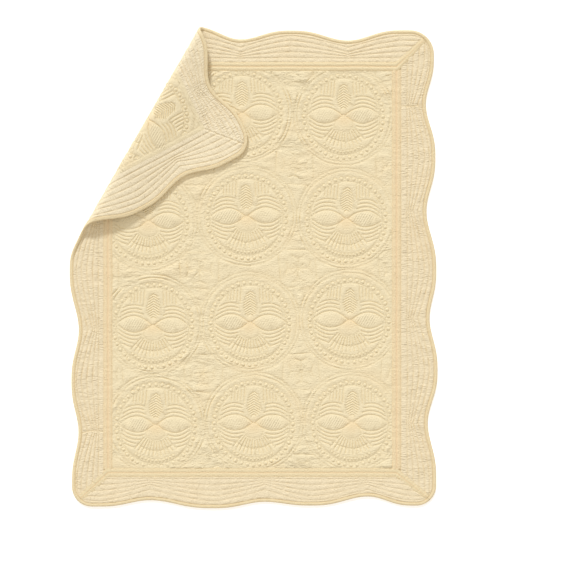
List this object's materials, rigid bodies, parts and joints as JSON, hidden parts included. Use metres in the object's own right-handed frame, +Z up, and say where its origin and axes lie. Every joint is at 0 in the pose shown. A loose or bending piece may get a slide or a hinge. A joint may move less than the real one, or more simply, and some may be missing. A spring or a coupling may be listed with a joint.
{
  "type": "quilted blanket",
  "caption": "Padded quilted cot blanket with scalloped bound edge, border strips and quilted roundels, lying flat with its top left corner folded over.",
  "frame": {"origin": "middle of the bounding box at the level the blanket lies on", "axes": "+Y up the length towards the edge whose left corner is folded over, +X to the right, +Z up out of the front face"},
  "size_m": [0.92, 1.2032, 0.032],
  "materials": {
    "cloth": "matte padded cotton",
    "trim": "matte cotton strip"
  },
  "bodies": {
    "root": {"panel": "cloth", "border_right": "cloth", "border_top": "cloth", "border_left": "cloth", "border_bottom": "cloth", "tape_top": "trim", "tape_bottom": "trim", "tape_left": "trim", "tape_right": "trim", "binding": "trim"}
  },
  "joints": []
}
